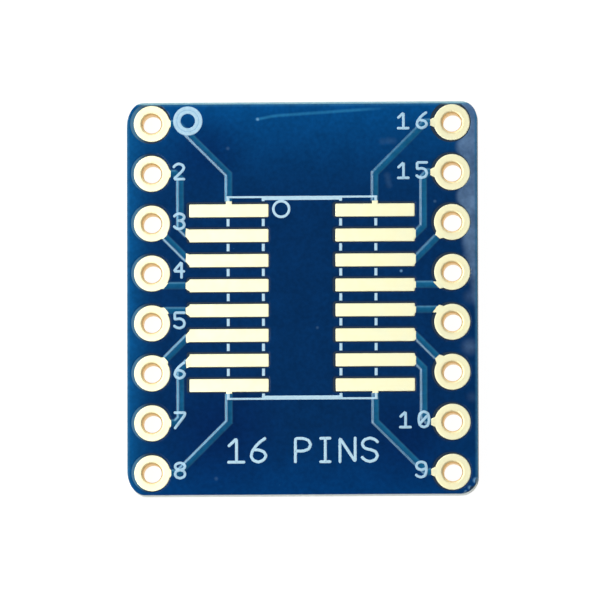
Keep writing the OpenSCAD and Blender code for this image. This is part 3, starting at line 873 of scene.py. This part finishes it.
# outlines: full strokes across the ends, and dashes where the sides cross the webs between the pads' openings
outlines = []
webs = np.arange(-perQuarter, perQuarter + 1) * layout["padPitch"] + layout["maskShift"][1]
clear = layout["padPitch"] / 2 - layout["padOpening"][1]
for (halfX, halfY), endStroke in zip((legend["wideBody"], legend["narrowBody"]), legend["endStrokes"]):
    reach = halfX + legend["stroke"] / 2
    outlines += [stroke([(-reach, y), (reach, y)], endStroke, rounded=False) for y in (-halfY, halfY)]
    for x in (-halfX, halfX):
        for web in webs:
            dash = [(x, max(web - clear, -halfY)), (x, min(web + clear, halfY))]
            outlines.append(stroke(dash, legend["stroke"], rounded=False))
inkPiece("chip_outline_ink", outlines, ["chip_outlines"])
heavy = [inkCircle(legend["heavyRing"], radius, legend["heavyStroke"]) for radius in legend["heavyRadii"]]
inkPiece("first_pin_ring", heavy, ["pin_one_ring"])
thinOne = inkCircle(legend["thinCircle"], legend["thinRadius"], legend["numberStroke"])
inkPiece("first_pad_circle", [thinOne], ["pin_one_circle"])
numbers = []
for text, x, y in legend["numbers"]:
    numbers += lettering(text, (x, y - legend["numberSize"][1] / 2), legend["numberSize"],
                         legend["numberAdvance"], legend["numberStroke"])
inkPiece("pin_numbers", numbers)
inkPiece("pin_count_word", lettering(legend["word"], legend["wordAt"], legend["wordSize"],
                                     legend["wordAdvance"], legend["stroke"]))
print("legend printed,", len(outlines) + len(numbers), "strokes")


# Studio: pale floor, soft light from the west, a card on the north, dark ceiling over the camera

studio = {
    "floorSize": 1.6, "floor": "#FAFAFA", "floorGlow": 0.97, "floorShare": 0.11,
    "lampColour": "#F0FAFF",
    "lamps": [  # place, size across and up, and brightness of each soft panel
        ("keySoftbox", (-61, 4, 121), (122, 54), 7.5),
        ("northCard", (0, 150, 55), (260, 90), 1.3),
    ],
    # height of the direction, and brightness of the sky there
    "sky": [(0.0, 0.8), (0.18, 0.53), (0.72, 0.395), (0.9, 0.04), (1.0, 0.015)],
}
side = studio["floorSize"] / 2
floorMesh = bpy.data.meshes.new("floor")
corners = [(-side, -side, 0), (side, -side, 0), (side, side, 0), (-side, side, 0)]
floorMesh.from_pydata(corners, [], [(0, 1, 2, 3)])
floor = bpy.data.objects.new("floor", floorMesh)
bpy.context.scene.collection.objects.link(floor)
# white sweep: matt paper for the light, and a white glow for what the lens, metal and glass see of it
paper = bpy.data.materials.new("paleSweep")
paper.use_nodes = True
paper.node_tree.nodes.clear()
add = partial(addNode, paper.node_tree)
ray = add("LightPath", out=None)
seen = ray["Is Camera Ray"]
for other in ("Is Glossy Ray", "Is Transmission Ray"):
    seen = add("Math", (seen, ray[other]), operation="MAXIMUM")
matt = add("BsdfDiffuse", (studio["floor"],))
faint = add("BsdfDiffuse", ((studio["floorShare"],) * 3 + (1,),))
glow = add("Emission", ((studio["floorGlow"],) * 3 + (1,),))
both = add("AddShader", (glow, faint))
mixed = add("MixShader", (seen, matt, both))
add("OutputMaterial", (mixed,), None)
floorMesh.materials.append(paper)

world = bpy.data.worlds.new("studio")
bpy.context.scene.world = world
world.use_nodes = True
tree = world.node_tree
add = partial(addNode, tree)
way = add("TexCoord", out="Generated")
height = add("SeparateXYZ", (way,), "Z")
fade = add("ValToRGB", (height,))
stops = fade.node.color_ramp.elements
while len(stops) < len(studio["sky"]):
    stops.new(0.5)
for stop, (position, bright) in zip(stops, studio["sky"]):
    stop.position = position
    stop.color = (bright, bright, bright, 1)
tree.links.new(fade, tree.nodes["Background"].inputs["Color"])

for name, place, size, radiance in studio["lamps"]:
    panel = bpy.data.lights.new(name, "AREA")
    panel.shape = "RECTANGLE"
    panel.color = linear(studio["lampColour"])[:3]
    panel.size, panel.size_y = (s * mm for s in size)
    panel.energy = radiance * math.pi * panel.size * panel.size_y  # power of an even panel
    lamp = bpy.data.objects.new(name, panel)
    bpy.context.scene.collection.objects.link(lamp)
    lamp.location = Vector(place) * mm
    lamp.rotation_euler = (-lamp.location).to_track_quat("-Z", "Y").to_euler()

# Camera: almost straight down, a little from the south and east, long lens
view = {
    "turn": ("Z", 0.323), "lean": ("Y", -2.4), "tilt": ("X", -4.625),
    "offset": (0.1066, 0.1193, -800), "focalPixels": 15775.9, "frame": 600, "sensor": 36, "near": 0.01,
}
turned = Matrix.Identity(3)
for key in ("turn", "lean", "tilt"):
    axis, angle = view[key]
    turned = turned @ Matrix.Rotation(math.radians(angle), 3, axis)
lens = bpy.data.cameras.new("camera")
lens.sensor_width = view["sensor"]
lens.lens = view["focalPixels"] / view["frame"] * lens.sensor_width
lens.clip_start = view["near"]
camera = bpy.data.objects.new("camera", lens)
bpy.context.scene.collection.objects.link(camera)
spot = Vector((0, 0, copperTop)) - turned.transposed() @ Vector(view["offset"])
camera.matrix_world = Matrix.Translation(spot * mm) @ turned.transposed().to_4x4()
bpy.context.scene.camera = camera
bpy.context.scene.view_settings.view_transform = "Standard"
print("studio lit, camera at", [round(c, 1) for c in spot], "mm")
